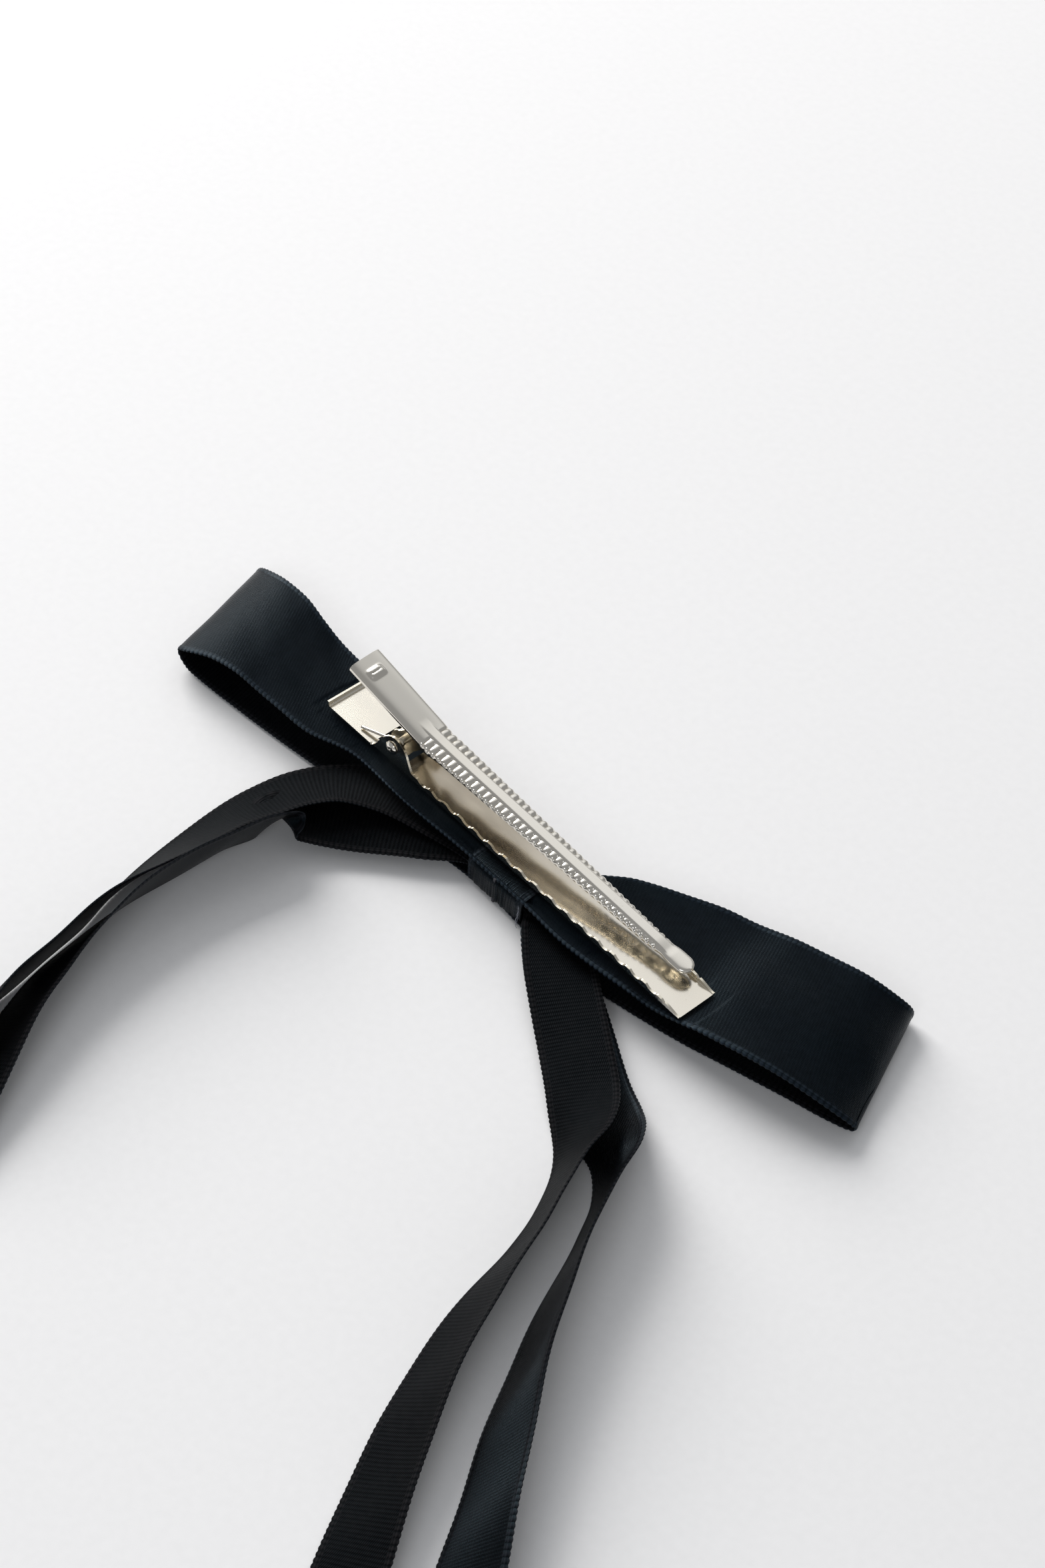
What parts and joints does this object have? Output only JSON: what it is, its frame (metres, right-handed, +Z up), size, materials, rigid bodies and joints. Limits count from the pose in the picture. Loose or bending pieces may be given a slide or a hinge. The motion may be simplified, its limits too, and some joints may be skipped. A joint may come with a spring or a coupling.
{
  "type": "alligator hair clip with ribbon bow",
  "caption": "Long sprung hair clip of stamped plated steel with scalloped lower jaw, glued to the back of a dark satin ribbon bow with trailing tails.",
  "frame": {"origin": "on the resting surface under the knot of the bow, on the centre line of the clip's lower jaw", "axes": "+X along the clip from its finger levers to its tips, +Z up out of the bow's back, the hinge pin along Y"},
  "size_m": [0.1661, 0.1365, 0.018],
  "materials": {
    "plated_steel": "bright nickel plate on stamped sheet",
    "spring_wire": "plated spring wire",
    "satin_ribbon": "single-face satin with woven selvedges",
    "satin_tail": "narrow satin ribbon with woven selvedges",
    "thread": "sewing thread",
    "adhesive": "cured hot-melt glue"
  },
  "bodies": {
    "base": {"lower_jaw": "plated_steel", "pivot_pin": "plated_steel", "torsion_spring": "spring_wire", "bow_loops": "satin_ribbon", "tail_ribbon_upper": "satin_tail", "tail_ribbon_lower": "satin_tail", "centre_wrap": "satin_ribbon", "binding_thread": "thread", "glue_pad": "adhesive"},
    "jaw": {"upper_jaw": "plated_steel"}
  },
  "joints": [
    {"name": "jaw_hinge", "type": "hinge", "parent": "base", "child": "jaw", "pos_m": [-0.0205, 0, 0.0093], "axis": [0, -1, 0], "range_deg": [0, 38], "stiffness_Nm_per_rad": 0.02, "springref_deg": -28.65, "deforming": ["torsion_spring"]}
  ]
}
